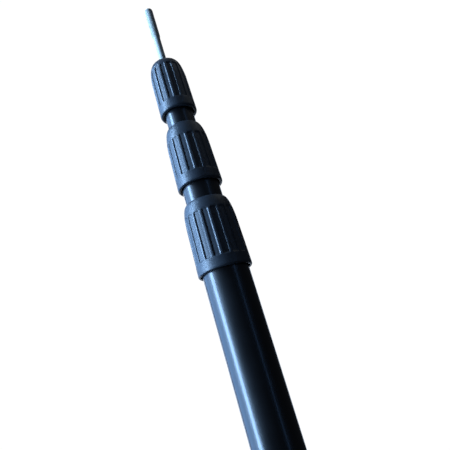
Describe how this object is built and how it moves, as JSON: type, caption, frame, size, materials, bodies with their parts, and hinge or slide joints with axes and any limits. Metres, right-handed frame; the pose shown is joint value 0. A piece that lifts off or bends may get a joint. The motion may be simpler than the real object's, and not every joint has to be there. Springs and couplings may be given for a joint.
{
  "type": "telescopic boat hook pole",
  "caption": "Black telescopic pole shown collapsed, with fluted twist-lock collars of falling size and a bare threaded tip stud for a screw-on hook head.",
  "frame": {"origin": "centre of the end cap's flat foot", "axes": "+Z along the pole towards its tip stud; +X along the lanyard eye"},
  "size_m": [0.035, 0.0368, 0.628],
  "materials": {
    "tube": "black semi-gloss anodised tube",
    "collar": "fine-grained black moulded nylon",
    "cap": "satin black moulded nylon",
    "steel": "plain stainless steel",
    "bush": "natural acetal",
    "collet": "natural nylon",
    "rivet": "plain aluminium",
    "wiper": "soft black rubber",
    "stud": "bright zinc-plated steel"
  },
  "bodies": {
    "handle": {"handle_tube": "tube", "end_cap": "cap", "end_cap_screws": "steel", "collet_1": "collet", "collet_rivets_1": "rivet"},
    "clamp_1": {"clamp_ring_1": "collet"},
    "twist_collar_1": {"collar_1": "collar", "wiper_ring_1": "wiper"},
    "section_2": {"tube_2": "tube", "foot_bush_2": "bush", "foot_pin_2": "steel", "collet_2": "collet", "collet_rivets_2": "rivet"},
    "clamp_2": {"clamp_ring_2": "collet"},
    "twist_collar_2": {"collar_2": "collar", "wiper_ring_2": "wiper"},
    "section_3": {"tube_3": "tube", "foot_bush_3": "bush", "foot_pin_3": "steel", "collet_3": "collet", "collet_rivets_3": "rivet"},
    "clamp_3": {"clamp_ring_3": "collet"},
    "twist_collar_3": {"collar_3": "collar", "wiper_ring_3": "wiper"},
    "section_4": {"tube_4": "tube", "foot_bush_4": "bush", "foot_pin_4": "steel", "tip_plug": "cap", "tip_nut": "steel", "tip_stud": "stud"}
  },
  "joints": [
    {"name": "clamp_1_slide", "type": "slide", "parent": "handle", "child": "clamp_1", "axis": [0, 0, 1], "range_m": [0, 0.0017]},
    {"name": "collar_1_turn", "type": "hinge", "parent": "clamp_1", "child": "twist_collar_1", "pos_m": [0, 0, 0.437], "axis": [0, 0, 1], "range_deg": [0, 150]},
    {"name": "section_2_slide", "type": "slide", "parent": "handle", "child": "section_2", "axis": [0, 0, 1], "range_m": [0, 0.36]},
    {"name": "clamp_2_slide", "type": "slide", "parent": "section_2", "child": "clamp_2", "axis": [0, 0, 1], "range_m": [0, 0.0017]},
    {"name": "collar_2_turn", "type": "hinge", "parent": "clamp_2", "child": "twist_collar_2", "pos_m": [0, 0, 0.496], "axis": [0, 0, 1], "range_deg": [0, 150]},
    {"name": "section_3_slide", "type": "slide", "parent": "section_2", "child": "section_3", "axis": [0, 0, 1], "range_m": [0, 0.4]},
    {"name": "clamp_3_slide", "type": "slide", "parent": "section_3", "child": "clamp_3", "axis": [0, 0, 1], "range_m": [0, 0.0017]},
    {"name": "collar_3_turn", "type": "hinge", "parent": "clamp_3", "child": "twist_collar_3", "pos_m": [0, 0, 0.553], "axis": [0, 0, 1], "range_deg": [0, 150]},
    {"name": "section_4_slide", "type": "slide", "parent": "section_3", "child": "section_4", "axis": [0, 0, 1], "range_m": [0, 0.44]}
  ],
  "couplings": [
    {"joint": "clamp_1_slide", "follows": "collar_1_turn", "m_per_rad": 0.00063662},
    {"joint": "clamp_2_slide", "follows": "collar_2_turn", "m_per_rad": 0.00063662},
    {"joint": "clamp_3_slide", "follows": "collar_3_turn", "m_per_rad": 0.00063662}
  ]
}
